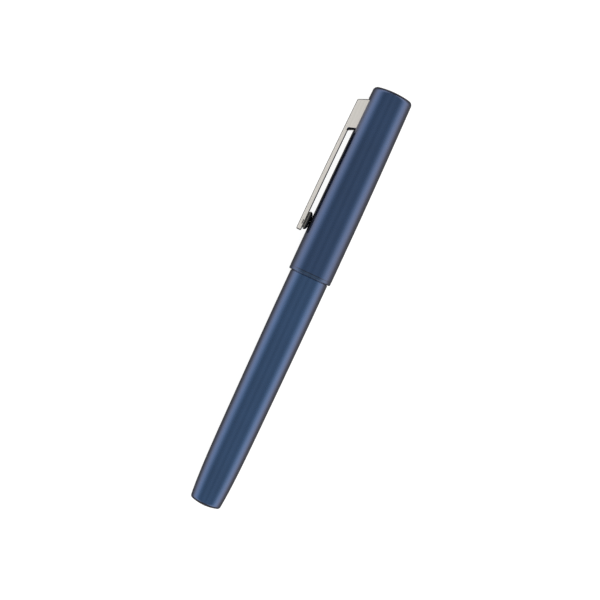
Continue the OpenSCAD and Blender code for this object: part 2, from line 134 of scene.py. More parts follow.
SHOULDER_Z = TIP_Z - 23.5  # the refill's shoulder
BALL_R = 0.35
SEAT_Z, SPRING_R, SPRING_WIRE = 8, 2.62, 0.25
CAP_TAPER_Z, CAP_TAPER_END, CAP_TAPER, CAP_TAPER_POWER = 96, PEN_L - 3, 0.48, 1.6
CAP_BORE_R = CAP_R - WALL
SLOT_Z0, SLOT_Z1, SLOT_INNER_Z1 = PEN_L - 16.22, PEN_L - 5.1, PEN_L - 4.78
LINER_Z0, LINER_Z1, LINER_R = MOUTH_Z + 6, PEN_L - 20.5, GRIP_R + 0.12
RING_R, RING_WIRE = GRIP_R + 0.06, 0.25
SEAL_Z, SEAL_R, SEAL_L = NOSE_Z + NOSE_L + 0.03, 2.6, 4.6
CLIP_W, CLIP_ROOT_W, CLIP_TAPER, CLIP_REACH, CLIP_BEND = 5.4, 4.8, 0.8, 10.19, 0.55
CLIP_INNER, INNER_BEND, CLIP_TIP_Z, CLIP_TOP_Z = 8.56, 0.42, PEN_L - 51.35, PEN_L - 6.68
WINDOW_Z, CLIP_WIDE_Z, SLANT = PEN_L - 16.45, PEN_L - 19.95, math.tan(math.radians(24))
PIN_X, PIN_Z, PIN_R, PIN_L = 4.6, PEN_L - 7.8, 0.5, 4.0
HEEL_X, HEEL_Z, TANG_W = PIN_X - 1.3, PEN_L - 5.1, 2.6
CLIP_SPRING_R, CLIP_SPRING_WIRE, CLIP_SPRING_L = 1.0, 0.22, 6
GLIDE_Z, GLIDE_L, GLIDE_W = CLIP_TIP_Z + 3.7, 6, 3
FOOT_X = CLIP_INNER - 0.03  # where the foot meets the arm


def barrel_at(z):
    """The barrel's outer radius at a height."""
    u = max(0.0, TAPER_Z - z) / TAPER_Z
    return BARREL_R - BARREL_TAPER * u ** TAPER_POWER - BARREL_TUCK * u ** TUCK_POWER


def cap_at(z):
    """The cap's outer radius at a height, below the round of its top."""
    u = max(0.0, z - CAP_TAPER_Z) / (CAP_TAPER_END - CAP_TAPER_Z)
    return CAP_R - CAP_TAPER * u ** CAP_TAPER_POWER


def grip_at(z):
    """The grip's outer radius at a height, easing towards the nose."""
    u = (z - GRIP_Z) / GRIP_L
    return GRIP_R - (GRIP_R - GRIP_FRONT_R) * (1.5 * u - 0.5 * u * u)


def clip_at(z):
    """How far the arm's outer face is from the axis at a height."""
    return CLIP_REACH - CLIP_BEND * ((z - CLIP_TIP_Z) / (CLIP_TOP_Z - CLIP_TIP_Z)) ** 2


def clip_inner_at(z):
    """How far the arm's inner face is from the axis at a height."""
    return CLIP_INNER - INNER_BEND * ((z - CLIP_TIP_Z) / (CLIP_TOP_Z - CLIP_TIP_Z)) ** 2


def clip_half_w(z):
    """Half the clip's width at a height: widest at CLIP_WIDE_Z, narrower at the root and the tip."""
    if z >= CLIP_WIDE_Z:
        u = min(1.0, (z - CLIP_WIDE_Z) / (WINDOW_Z - CLIP_WIDE_Z))
        return (CLIP_W - (CLIP_W - CLIP_ROOT_W) * u * u * (3 - 2 * u)) / 2
    return (CLIP_W - CLIP_TAPER * (CLIP_WIDE_Z - z) / (CLIP_WIDE_Z - CLIP_TIP_Z)) / 2


# ---- outlines ----

def spread(a, b, n):
    """The n + 1 evenly spaced values from a to b."""
    return [a + (b - a) * i / n for i in range(n + 1)]


def arc(cr, cz, r, a0, a1, n):
    """Points of an arc about (cr, cz), angles in degrees."""
    return [
        (cr + r * math.cos(math.radians(a)), cz + r * math.sin(math.radians(a)))
        for a in spread(a0, a1, n)
    ]


def rounded(points, closed=True):
    """The outline with its corners rounded, where a point carries a radius as its third number."""
    step = 14.0  # degrees of turn for each short straight of a round
    out = []
    count = len(points)
    for i, p in enumerate(points):
        here = Vector(p[:2])
        f = p[2] if len(p) > 2 else 0.0
        if f <= 0 or (not closed and i in (0, count - 1)):
            out.append(tuple(here))
            continue
        a = Vector(points[i - 1][:2]) - here
        b = Vector(points[(i + 1) % count][:2]) - here
        turn = math.pi - a.angle(b, math.pi)
        if turn < math.radians(2):
            out.append(tuple(here))
            continue
        t = min(f * math.tan(turn / 2), 0.45 * a.length, 0.45 * b.length)
        f = t / math.tan(turn / 2)
        start, end = here + a.normalized() * t, here + b.normalized() * t
        centre = here + (a.normalized() + b.normalized()).normalized() * math.hypot(f, t)
        n = max(2, math.ceil(math.degrees(turn) / step))
        va, vb = start - centre, end - centre
        swing = va.angle_signed(vb)
        for k in range(n + 1):
            v = va.copy()
            v.rotate(Matrix.Rotation(-swing * k / n, 2))
            out.append(tuple(centre + v))
    return out


# ---- meshes ----

def finish_mesh(bm, name, sharp):
    """The mesh as an object, shaded smooth but for the edges sharper than the angle, in degrees."""
    bmesh.ops.recalc_face_normals(bm, faces=bm.faces)
    mesh = bpy.data.meshes.new(name)
    bm.to_mesh(mesh)
    bm.free()
    mesh.polygons.foreach_set("use_smooth", [True] * len(mesh.polygons))
    mesh.set_sharp_from_angle(angle=math.radians(sharp))
    obj = bpy.data.objects.new(name, mesh)
    bpy.context.scene.collection.objects.link(obj)
    return obj


def quad(bm, a, b, i, j):
    """The face between two rings of vertices and columns i and j. A ring may be one point."""
    corners = [a[i % len(a)], a[j % len(a)], b[j % len(b)], b[i % len(b)]]
    unique = list(dict.fromkeys(corners))
    if len(unique) > 2:
        bm.faces.new(unique)


def quads(bm, a, b):
    """The faces all round between two rings."""
    n = max(len(a), len(b))
    for i in range(n):
        quad(bm, a, b, i, (i + 1) % n)


def turned(name, outline, segs=160, closed=True, sharp=32, wobble=None):
    """A turned part: the outline, as (r, z) points, swept about the axis. wobble(angle, r, z)
    gives the radius where it isn't the same all round."""
    bm = bmesh.new()
    rows = []
    for r, z in outline:
        if r < 1e-6:
            rows.append([bm.verts.new((0, 0, z))])
            continue
        ring = []
        for i in range(segs):
            a = 2 * math.pi * i / segs
            q = wobble(a, r, z) if wobble else r
            ring.append(bm.verts.new((q * math.cos(a), q * math.sin(a), z)))
        rows.append(ring)
    for a, b in zip(rows, rows[1:]):
        quads(bm, a, b)
    if closed and len(rows[0]) > 1:
        quads(bm, rows[-1], rows[0])
    return finish_mesh(bm, name, sharp)


# A wire's rounded end: how far each ring stays from the very end, and its size, in wire radii.
WIRE_END = ((0.02, 0.2), (0.12, 0.48), (0.35, 0.76), (0.7, 0.95))


def swept(name, path, wire):
    """A round wire along a path of points, with rounded ends."""
    sides = 14
    last = len(path) - 1
    stops = []
    for i, p in enumerate(path):
        along = (path[min(i + 1, last)] - path[max(i - 1, 0)]).normalized()
        stops.append((p, along, 1.0))
    start, end = stops[0], stops[-1]
    head = [(start[0] - start[1] * wire * (1 - s), start[1], q) for s, q in WIRE_END]
    tail = [(end[0] + end[1] * wire * (1 - s), end[1], q) for s, q in reversed(WIRE_END)]
    bm = bmesh.new()
    rings = []
    for p, along, q in head + stops + tail:
        side = Vector((0, 0, 1)).cross(along).normalized()
        top = along.cross(side).normalized()
        rings.append([
            bm.verts.new(p + (side * math.cos(b) + top * math.sin(b)) * wire * q)
            for b in (2 * math.pi * j / sides for j in range(sides))
        ])
    for a, b in zip(rings, rings[1:]):
        quads(bm, a, b)
    bm.faces.new(rings[0][::-1])
    bm.faces.new(rings[-1])
    return finish_mesh(bm, name, 50)


def bevelled(obj, width, segments, angle):
    """A bevel of the edges sharper than the angle, in degrees, kept as a modifier."""
    m = obj.modifiers.new("edge_rounding", "BEVEL")
    m.width = width
    m.segments = segments
    m.limit_method = "ANGLE"
    m.angle_limit = math.radians(angle)
    m.harden_normals = True
    m.use_clamp_overlap = True
    return obj


def place(obj, body, slot, material, *nodes, matrix=None):
    """Lays the piece where the frame has it, gives it its body and finish, and hides the CAD nodes that it
    stands in for.
    """
    obj.data.transform(LAY @ matrix if matrix else LAY)
    obj.data.materials.append(material)
    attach(obj, body)
    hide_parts(*nodes)
    return obj


# ---- materials ----

class Shader:
    """A Principled material with helpers for procedural detail in the part's own coordinates."""

    def __init__(self, name, colour, rough, metal=0.0, **sockets):
        """Further sockets are given by name, with _ for a space."""
        self.material = bpy.data.materials.new(name)
        self.material.use_nodes = True
        self.tree = self.material.node_tree
        self.bsdf = self.tree.nodes["Principled BSDF"]
        self.colour = colour
        self.rough = rough
        self.bsdf.inputs["Base Color"].default_value = (*colour, 1)
        self.bsdf.inputs["Roughness"].default_value = rough
        self.bsdf.inputs["Metallic"].default_value = metal
        for key, value in sockets.items():
            self.bsdf.inputs[key.replace("_", " ")].default_value = value
        self.coords = self.tree.nodes.new("ShaderNodeTexCoord")
        self.normal = None

    def link(self, a, b):
        """Joins an output to an input."""
        self.tree.links.new(a, b)

    def noise(self, scale, stretch=(1, 1, 1), detail=3.0):
        """Noise in the part's own coordinates, in metres, that can be stretched along an axis."""
        mapping = self.tree.nodes.new("ShaderNodeMapping")
        mapping.inputs["Scale"].default_value = stretch
        self.link(self.coords.outputs["Object"], mapping.inputs["Vector"])
        tex = self.tree.nodes.new("ShaderNodeTexNoise")
        tex.inputs["Scale"].default_value = scale
        tex.inputs["Detail"].default_value = detail
        tex.inputs["Roughness"].default_value = 0.6
        self.link(mapping.outputs["Vector"], tex.inputs["Vector"])
        return tex.outputs["Fac"]

    def ranged(self, value, lo, hi, from_lo=0.3, from_hi=0.7):
        """A value taken from one range to another. Most of a noise lies between 0.3 and 0.7."""
        node = self.tree.nodes.new("ShaderNodeMapRange")
        node.inputs["From Min"].default_value = from_lo
        node.inputs["From Max"].default_value = from_hi
        node.inputs["To Min"].default_value = lo
        node.inputs["To Max"].default_value = hi
        self.link(value, node.inputs["Value"])
        return node.outputs["Result"]

    def mixed(self, factor):
        """Sets the base colour to a mix, and gives the mix's two colour inputs."""
        mix = self.tree.nodes.new("ShaderNodeMix")
        mix.data_type = "RGBA"
        self.link(factor, mix.inputs["Factor"])
        self.link([s for s in mix.outputs if s.type == "RGBA"][0], self.bsdf.inputs["Base Color"])
        return [s for s in mix.inputs if s.type == "RGBA"]

    def tint(self, value, dark, light):
        """Varies the base colour between two shades of itself."""
        dark_in, light_in = self.mixed(self.ranged(value, 0, 1))
        dark_in.default_value = (*[c * dark for c in self.colour], 1)
        light_in.default_value = (*[min(1, c * light) for c in self.colour], 1)
        return self

    def roughen(self, value, spread_by):
        """Varies the roughness to both sides of its own value."""
        self.link(
            self.ranged(value, self.rough - spread_by, self.rough + spread_by),
            self.bsdf.inputs["Roughness"],
        )
        return self

    def bump(self, value, height):
        """Adds relief of a height in metres."""
        node = self.tree.nodes.new("ShaderNodeBump")
        node.inputs["Strength"].default_value = 1.0
        node.inputs["Distance"].default_value = height
        self.link(value, node.inputs["Height"])
        if self.normal:
            self.link(self.normal, node.inputs["Normal"])
        self.normal = node.outputs["Normal"]
        self.link(self.normal, self.bsdf.inputs["Normal"])
        return self

    def slant(self, colour, start, end):
        """Paints a sheen: it turns the base colour towards another one where the surface is seen at a slant.

        It comes after tint. Facing is 0 where the surface is seen square on, and 1 at its edge.
        """
        weight = self.tree.nodes.new("ShaderNodeLayerWeight")
        weight.inputs["Blend"].default_value = 0.5
        tinted = self.bsdf.inputs["Base Color"].links[0].from_socket
        square_in, slant_in = self.mixed(self.ranged(weight.outputs["Facing"], 0, 1, start, end))
        self.link(tinted, square_in)
        slant_in.default_value = (*colour, 1)
        return self


ALONG = (0.02, 1, 1)  # stretches a pattern along the pen
AROUND = (1, 0.03, 0.03)  # gathers it into rings round the pen


def anodised(name, colour):
    """Bead-blasted, dyed and sealed aluminium: fine grain under a smooth clear oxide, with a painted sheen at
    a slant.
    """
    s = Shader(name, colour, 0.27, metal=1.0, Coat_Weight=1.0, Coat_Roughness=0.14, Coat_IOR=1.4)
    s.tint(s.noise(90, detail=2), 0.95, 1.05)
    # painted sheen: towards its edges the blue turns a greyer violet, standing in for the reflection seen at
    # a slant
    s.slant((0.036, 0.050, 0.116), 0.10, 0.50)
    s.roughen(s.noise(1500), 0.03)
    s.bump(s.noise(9000, detail=2), 0.5e-6)
    s.bump(s.noise(5000, ALONG, detail=2), 0.25e-6)
    return s.material


def satin_steel(name, rough):
    """Steel with a fine brushed satin along the pen."""
    s = Shader(name, (0.88, 0.845, 0.79), rough, metal=1.0)
    s.tint(s.noise(2600, ALONG, detail=4), 0.93, 1.05)
    s.roughen(s.noise(4000, ALONG, detail=3), 0.07)
    s.bump(s.noise(7000, ALONG, detail=3), 1.6e-6)
    return s.material


def turned_metal(name, colour, rough):
    """Metal with the fine rings that a lathe leaves."""
    s = Shader(name, colour, rough, metal=1.0)
    s.tint(s.noise(300), 0.92, 1.06)
    s.roughen(s.noise(5000, AROUND), 0.06)
    s.bump(s.noise(9000, AROUND, detail=2), 1.5e-6)
    return s.material


def wire_steel(name):
    """Drawn spring wire, a little stained."""
    s = Shader(name, (0.50, 0.50, 0.51), 0.26, metal=1.0)
    s.tint(s.noise(700), 0.85, 1.08)
    s.roughen(s.noise(2500), 0.08)
    s.bump(s.noise(6000, detail=4), 1e-6)
    return s.material


def plastic(name, colour, rough, grain, coat=0.0):
    """Moulded plastic: a fine spark-eroded grain and slight colour variation."""
    s = Shader(name, colour, rough, Coat_Weight=coat, Coat_Roughness=0.12)
    s.tint(s.noise(120), 0.9, 1.12)
    s.roughen(s.noise(2400), 0.06)
    s.bump(s.noise(6500, detail=4), grain)
    return s.material


def rubber(name):
    """Soft black rubber with a dull, slightly uneven skin."""
    s = Shader(name, (0.018, 0.018, 0.019), 0.62)
    s.tint(s.noise(800), 0.7, 1.4)
    s.roughen(s.noise(3000), 0.1)
    s.bump(s.noise(5200, detail=5), 3e-6)
    return s.material


def fibre(name):
    """Ink-soaked polyester fibre, drawn along the rod."""
    s = Shader(name, (0.012, 0.022, 0.16), 0.8, Sheen_Weight=0.3)
    s.tint(s.noise(4200, ALONG, detail=5), 0.45, 2.2)
    s.bump(s.noise(4800, ALONG, detail=4), 12e-6)
    return s.material


CAP_BLUE = anodised("anodised_blue_cap", (0.018, 0.053, 0.132))
BARREL_BLUE = anodised("anodised_blue_barrel", (0.0225, 0.0685, 0.163))
STEEL = satin_steel("satin_steel", 0.40)
# painted reflection: the lip's violet-grey tint stands in for the light that its rounded edge reflects
LIP_REFLECTION_BLUE = anodised("lip_painted_reflection", (0.022, 0.054, 0.114))
# painted shade: near-black for the dark inside the seam's groove
SEAM_SHADE_BLUE = anodised("seam_painted_shade", (0.006, 0.012, 0.028))
EDGE_STEEL = satin_steel("burnished_steel", 0.19)
NOSE_STEEL = turned_metal("turned_steel", (0.60, 0.59, 0.57), 0.27)
BRASS = turned_metal("brass", (0.68, 0.47, 0.19), 0.24)
WIRE = wire_steel("spring_steel")
BLACK_GLOSS = plastic("black_gloss_plastic", (0.004, 0.004, 0.0045), 0.22, 0.4e-6, coat=0.3)
BLACK_PLASTIC = plastic("black_plastic", (0.022, 0.022, 0.024), 0.5, 2.5e-6)
GREY_PLASTIC = plastic("grey_plastic", (0.10, 0.10, 0.105), 0.48, 2.5e-6)
# painted highlight: a pale grey-beige standing in for the shine along the rim of the clip's foot
SEAT_HIGHLIGHT_PLASTIC = plastic("seat_painted_highlight", (0.27, 0.26, 0.225), 0.45, 1.5e-6)
WHITE_PLASTIC = plastic("white_plastic", (0.74, 0.74, 0.71), 0.42, 1.5e-6)
RUBBER = rubber("black_rubber")
FIBRE = fibre("ink_fibre")
TUBE_METAL = turned_metal("refill_metal", (0.62, 0.62, 0.63), 0.30)
BALL_METAL = turned_metal("ball_metal", (0.30, 0.30, 0.32), 0.10)

# ---- barrel ----


def make_barrel_shell():
    """The barrel: domed tail, long taper, a tenon inside the cap's mouth, and the bore."""
    dome_r, corner_r = 14.0, 1.05
    corner_x = barrel_at(1.5) - corner_r
    corner_z = dome_r - math.sqrt((dome_r - corner_r) ** 2 - corner_x ** 2)
    dome_a = math.degrees(math.atan2(corner_z - dome_r, corner_x))
    outline = (
        [(0, 0)]
        + arc(0, dome_r, dome_r, -90 + 1.5, dome_a, 14)
        + arc(corner_x, corner_z, corner_r, dome_a + 6, -7, 12)
        + [(barrel_at(z), z) for z in spread(2.0, 12, 16)]
        + [(barrel_at(z), z) for z in spread(12.5, TAPER_Z, 40)]
        + rounded([
            (BARREL_R, TAPER_Z + 1), (BARREL_R, STEP_Z, 0.1), (TENON_R, STEP_Z, 0.05),
            (TENON_R, FACE_Z - 0.2, 0.08), (TENON_R - 0.2, FACE_Z, 0.08), (INSERT_R, FACE_Z, 0.05),
            (INSERT_R, INSERT_Z), (barrel_at(INSERT_Z) - BARREL_WALL, INSERT_Z - 0.1),
        ], closed=False)
        + [(barrel_at(z) - BARREL_WALL, z) for z in spread(INSERT_Z - 1, 2.8, 30)]
        + [(barrel_at(2.8) - WALL - 1, 1.2), (0, 1.2)]
    )
    return turned("barrel_shell_turned", outline, segs=192, closed=False)


place(make_barrel_shell(), "barrel", "blue_anodised", BARREL_BLUE, "barrel_shell")


THREAD_STEPS = 14  # rows of points to each turn of a thread


def thread_wave(a, z):
    """A trapezoidal right-hand thread's relief at an angle and a height, to both sides of its mean."""
    u = (z / PITCH - a / (2 * math.pi)) % 1.0
    triangle = 1 - abs(2 * u - 1) * 2
    return THREAD_DEPTH * max(-1.0, min(1.0, 1.9 * triangle))


def make_thread_insert():
    """The brass insert with its female thread."""
    bore = THREAD_R + 0.05
    z0, z1 = INSERT_Z + 1.5, FACE_Z - 0.45
    rows = spread(z0, z1, int((z1 - z0) / PITCH * THREAD_STEPS))

    def wobble(a, r, z):
        """The thread, on the rows of the bore only, fading out at both its ends."""
        if abs(r - bore) > 1e-6:
            return r
        fade = min(1, (z - z0) / 0.3, (z1 - z) / 0.3)
        return r + thread_wave(a, z) * max(0, fade)

    outline = (
        rounded([
            (bore + 0.25, INSERT_Z, 0.05), (INSERT_R - 0.2, INSERT_Z, 0.05),
            (INSERT_R - 0.01, INSERT_Z + 0.2), (INSERT_R - 0.01, FACE_Z, 0.05),
            (bore + 0.3, FACE_Z, 0.05),
        ], closed=False)
        + [(bore, z) for z in reversed(rows)]
    )
    return turned("thread_insert_brass", outline, segs=120, wobble=wobble)


place(make_thread_insert(), "barrel", "brass", BRASS, "thread_insert")


def make_tail_plug():
    """The spring's seat: a ribbed plug with a hollow post."""
    cup = SPRING_R + SPRING_WIRE + 0.12
    side = [(barrel_at(z) - WALL - 0.16, z) for z in spread(3.1, SEAT_Z + 3, 8)]
    outline = rounded(
        [(0.5, 1.25, 0.1), (barrel_at(3.1) - WALL - 1.2, 1.25, 0.2)]
        + side[:-1] + [(*side[-1], 0.2)]
        + [(cup, SEAT_Z + 3, 0.15), (cup, SEAT_Z, 0.1), (1.7, SEAT_Z, 0.15), (1.4, SEAT_Z + 5, 0.3),
           (0.5, SEAT_Z + 5, 0.1)]
    )

    def ribs(a, r, z):
        """Twelve shallow grooves down the plug's side leave it ribbed."""
        if z < 3.2 or z > SEAT_Z + 2.8 or r < cup + 0.3:
            return r
        return r - 0.22 * (0.5 + 0.5 * math.cos(12 * a)) ** 4

    return turned("tail_plug_moulded", outline, segs=144, wobble=ribs)


place(make_tail_plug(), "barrel", "black_plastic", BLACK_PLASTIC, "tail_plug")


def coil_path(r, wire, z0, z1, turns):
    """A compression spring's centre line, with a closed turn at each end."""
    steps = 40  # points to each turn
    lift = z1 - z0 - 2 * wire
    dead, flat = 1 / turns, 2.15 * wire
    path = []
    for i in range(int(turns * steps) + 1):
        u = i / (turns * steps)
        if u < dead:
            rise = flat * u / dead
        elif u > 1 - dead:
            rise = lift - flat * (1 - u) / dead
        else:
            rise = flat + (lift - 2 * flat) * (u - dead) / (1 - 2 * dead)
        a = 2 * math.pi * turns * u
        path.append(Vector((r * math.cos(a), r * math.sin(a), z0 + wire + rise)))
    return path


spring_path = coil_path(SPRING_R, SPRING_WIRE, SEAT_Z + 0.01, REFILL_Z - 0.01, 9)
spring = swept("refill_spring_wire", spring_path, SPRING_WIRE)
place(spring, "barrel", "bright_steel", WIRE, "refill_spring")
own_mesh(spring)

# ---- grip section ----

O_RING_CORD = 0.39
o_ring_r = THREAD_R - 0.15 + O_RING_CORD + 0.03
o_ring = turned(
    "thread_o_ring_moulded",
    [(o_ring_r + O_RING_CORD * math.cos(a) * 0.995, FACE_Z + 0.4 + O_RING_CORD * math.sin(a))
     for a in (2 * math.pi * i / 20 for i in range(20))],
    segs=144, sharp=60,
)
place(o_ring, "o_ring", "black_rubber", RUBBER, "thread_o_ring")


def make_section_core():
    """The moulded core with its male thread."""
    z0, z1 = FACE_Z - TURNS * PITCH, FACE_Z - 0.7
    bore, front_bore = REFILL_R + 0.15, 2.65
    spigot_z, spigot_r = NOSE_Z - 5, 3.4
    rows = spread(z0 + 0.35, z1 - 0.1, int((z1 - z0) / PITCH * THREAD_STEPS))

    def wobble(a, r, z):
        """The thread, on its own rows only, running out into the core at both ends."""
        if abs(r - THREAD_R) > 1e-6:
            return r
        fade = min(1, (z - rows[0]) / 0.4, (rows[-1] - z) / 0.3)
        return r + thread_wave(a, z) * max(0, fade) - 0.1 * (1 - max(0, fade))

    outline = (
        rounded([
            (front_bore, SHOULDER_Z, 0.1), (bore, SHOULDER_Z, 0.1), (bore, z0, 0.1),
            (THREAD_R - 0.4, z0, 0.12), (THREAD_R - 0.12, z0 + 0.3),
        ], closed=False)
        + [(THREAD_R, z) for z in rows]
        + rounded([
            (THREAD_R - 0.15, z1 + 0.1), (THREAD_R - 0.15, TRIM_Z, 0.1), (CORE_R, TRIM_Z, 0.08),
            (CORE_R, CORE_STEP_Z, 0.08), (CORE_FRONT_R, CORE_STEP_Z, 0.08),
            (CORE_FRONT_R, spigot_z, 0.08), (spigot_r, spigot_z, 0.08),
            (spigot_r, NOSE_Z - 0.6, 0.15), (front_bore, NOSE_Z - 0.6, 0.1),
        ], closed=False)
    )
    return turned("section_core_moulded", outline, segs=120, wobble=wobble)


place(make_section_core(), "section", "black_plastic", BLACK_PLASTIC, "section_core")

trim = turned("trim_ring_turned", rounded([
    (CORE_R + 0.01, TRIM_Z, 0.05), (TRIM_R - 0.3, TRIM_Z, 0.1), (TRIM_R, TRIM_Z + 0.3, 0.1),
    (TRIM_R, TRIM_Z + 0.62, 0.06), (TRIM_R - 0.08, TRIM_Z + 0.68, 0.04),
    (TRIM_R - 0.08, TRIM_Z + 0.82, 0.04), (TRIM_R, TRIM_Z + 0.88, 0.06),
    (TRIM_R, GRIP_Z - 0.3, 0.1), (TRIM_R - 0.3, GRIP_Z, 0.1), (CORE_R + 0.01, GRIP_Z, 0.05),
]))
place(trim, "section", "satin_steel", NOSE_STEEL, "trim_ring")


def make_grip_shell():
    """The aluminium grip, with the groove that the cap's snap ring clicks into."""
    half = 0.45
    lo, hi = DETENT_Z - half, DETENT_Z + half
    floor_r = grip_at(DETENT_Z) - 0.15
    outline = (
        rounded([(CORE_R + 0.01, GRIP_Z, 0.05), (grip_at(GRIP_Z), GRIP_Z, 0.15),
                 (grip_at(lo), lo, 0.06), (floor_r, DETENT_Z - half / 2, 0.12),
                 (floor_r, DETENT_Z + half / 2, 0.12), (grip_at(hi), hi, 0.06),
                 (grip_at(hi + 0.5), hi + 0.5)], closed=False)
        + [(grip_at(z), z) for z in spread(hi + 1, NOSE_Z - 0.6, 40)]
        + rounded([(grip_at(NOSE_Z - 0.4), NOSE_Z - 0.4), (GRIP_FRONT_R, NOSE_Z, 0.12),
                   (CORE_FRONT_R + 0.01, NOSE_Z, 0.05), (CORE_FRONT_R + 0.01, CORE_STEP_Z + 0.01),
                   (CORE_R + 0.01, CORE_STEP_Z + 0.01)], closed=False)
    )
    return turned("grip_shell_turned", outline, segs=192)


place(make_grip_shell(), "section", "blue_anodised", BARREL_BLUE, "grip_shell")


def make_nose_cone():
    """The steel nose: a slightly bulged cone over the refill's tip, and a skirt inside the grip."""
    back_r, front_r, bulge = 4.86, 1.75, 0.25
    side = [
        (back_r + (front_r - back_r) * u + bulge * math.sin(math.pi * u), NOSE_Z + 0.12 + (NOSE_L - 0.27) * u)
        for u in spread(0, 1, 24)
    ]
    outline = rounded(
        [(3.41, NOSE_Z - 4.99, 0.05), (CORE_FRONT_R, NOSE_Z - 4.99, 0.05),
         (CORE_FRONT_R, NOSE_Z + 0.01, 0.03), (4.74, NOSE_Z + 0.01, 0.08)]
        + side[:-1] + [(*side[-1], 0.12)]
        + [(1.60, NOSE_Z + NOSE_L, 0.08), (1.42, NOSE_Z + NOSE_L, 0.08), (1.42, NOSE_Z + NOSE_L - 1.2),
           (2.85, NOSE_Z + 0.2), (3.41, NOSE_Z - 0.5)]
    )
    return turned("nose_cone_turned", outline, segs=160, sharp=26)


place(make_nose_cone(), "section", "satin_steel", NOSE_STEEL, "nose_cone")

# ---- refill ----

plug = turned("refill_end_plug_moulded", rounded([
    (0.4, REFILL_Z, 0.08), (2.0, REFILL_Z, 0.1), (2.2, REFILL_Z + 0.25, 0.1), (2.5, REFILL_Z + 0.25, 0.1),
    (2.7, REFILL_Z, 0.1), (REFILL_R, REFILL_Z, 0.18), (REFILL_R, REFILL_Z + 1.19, 0.08),
    (REFILL_R - 0.26, REFILL_Z + 1.19), (REFILL_R - 0.26, REFILL_Z + 4.9, 0.2),
    (0.4, REFILL_Z + 4.9, 0.08),
]), segs=96)
place(plug, "refill", "white_plastic", WHITE_PLASTIC, "refill_end_plug")


def make_refill_tube():
    """The drawn tube, with a rolled crimp near each end."""
    z0, z1 = REFILL_Z + 1.2, SHOULDER_Z - 1.5
    outer = []
    for zc in (z0 + 2.2, z1 - 2.4):
        for dz, depth in ((-0.45, 0), (-0.2, 0.05), (0, 0.07), (0.2, 0.05), (0.45, 0)):
            outer.append((REFILL_R - depth, zc + dz))
    inner = [(REFILL_R - 0.25, z1), (REFILL_R - 0.25, z0)]
    outline = rounded([(REFILL_R, z0, 0.06)] + outer + [(REFILL_R, z1, 0.06)] + inner)
    return turned("refill_tube_drawn", outline, segs=128)


place(make_refill_tube(), "refill", "refill_metal", TUBE_METAL, "refill_tube")

rod_z0, rod_z1 = REFILL_Z + 6, SHOULDER_Z - 10
reservoir = turned("ink_reservoir_rod", rounded([
    (0, rod_z0), (2.82, rod_z0, 0.3), (2.82, rod_z1, 0.3), (0.61, rod_z1, 0.05), (0.61, rod_z1 - 3),
    (0, rod_z1 - 3),
], closed=False), segs=96, closed=False)
place(reservoir, "refill", "ink_fibre", FIBRE, "ink_reservoir")

nose_front_z = NOSE_Z + NOSE_L - 2.3
refill_nose = turned("refill_nose_moulded", rounded([
    (0.63, SHOULDER_Z - 9.5, 0.05), (2.84, SHOULDER_Z - 9.5, 0.2), (2.84, SHOULDER_Z - 1.5),
    (REFILL_R, SHOULDER_Z - 1.49, 0.05), (REFILL_R, SHOULDER_Z, 0.12), (2.5, SHOULDER_Z, 0.1),
    (2.5, SHOULDER_Z + 4, 0.04), (2.42, SHOULDER_Z + 4.2, 0.04), (2.42, SHOULDER_Z + 4.9, 0.04),
    (2.5, SHOULDER_Z + 5.1, 0.04), (2.5, NOSE_Z - 2, 0.6), (1.3, nose_front_z, 0.1),
    (0.9, nose_front_z, 0.03), (0.9, nose_front_z - 3), (0.63, nose_front_z - 3),
]), segs=112)
place(refill_nose, "refill", "black_gloss", BLACK_GLOSS, "refill_nose")

feed = turned("ink_feed_rod", rounded([
    (0, SHOULDER_Z - 12.99), (0.6, SHOULDER_Z - 12.99, 0.12), (0.6, TIP_Z - 3.45, 0.12), (0, TIP_Z - 3.45),
], closed=False), segs=48, closed=False)
place(feed, "refill", "ink_fibre", FIBRE, "ink_feed")

BALL_Z = TIP_Z - BALL_R


def make_tip_sleeve():
    """The steel tip: a collar, a cone and the rolled rim that holds the ball."""
    seat_r, rim_z = BALL_R + 0.02, BALL_Z + 0.08
    lowest = -math.degrees(math.acos(0.18 / seat_r))
    seat = arc(0, BALL_Z, seat_r, 12, lowest, 8)
    outline = rounded([
        (0.63, nose_front_z - 2.9, 0.02), (0.88, nose_front_z - 2.9, 0.04), (0.88, nose_front_z + 0.01),
        (1.15, nose_front_z + 0.01, 0.05), (1.15, nose_front_z + 2.3, 0.12),
        (0.8, nose_front_z + 2.8, 0.15), (0.52, rim_z - 0.25, 0.1), (0.44, rim_z, 0.04),
    ], closed=False) + seat + [(0.18, TIP_Z - 3.35), (0.63, TIP_Z - 3.35)]
    return turned("tip_sleeve_turned", outline, segs=96, sharp=26)


place(make_tip_sleeve(), "refill", "satin_steel", NOSE_STEEL, "tip_sleeve")

ball_outline = [(0, BALL_Z - BALL_R)] + arc(0, BALL_Z, BALL_R, -85, 85, 30) + [(0, BALL_Z + BALL_R)]
ball = turned("writing_ball_ground", ball_outline, segs=64, closed=False, sharp=90)
place(ball, "ball", "carbide", BALL_METAL, "writing_ball")

# ---- cap ----

SPLIT = 28  # degrees between the ends of the snap ring's wire
ring_path = [
    Vector((RING_R * math.cos(a), RING_R * math.sin(a), DETENT_Z))
    for a in (math.radians(180 + SPLIT / 2 + (360 - SPLIT) * i / 120) for i in range(121))
]
place(swept("snap_ring_wire", ring_path, RING_WIRE), "snap_ring", "bright_steel", WIRE, "snap_ring")

CAP_SEGS = 196
LIP_L = 0.98  # the mouth's lip, up to its seam
LIP_ROUND = 0.50  # how far the lip's lower edge is rounded inwards
SEAM_DEPTH = 0.07  # the fine groove above the lip
SLOT_COLUMNS, SLOT_ROWS = 12, 8  # columns each side of the clip's plane that the slot takes
SLOT_RISE = 1.1  # how far the slot's lower end curves up at its sides


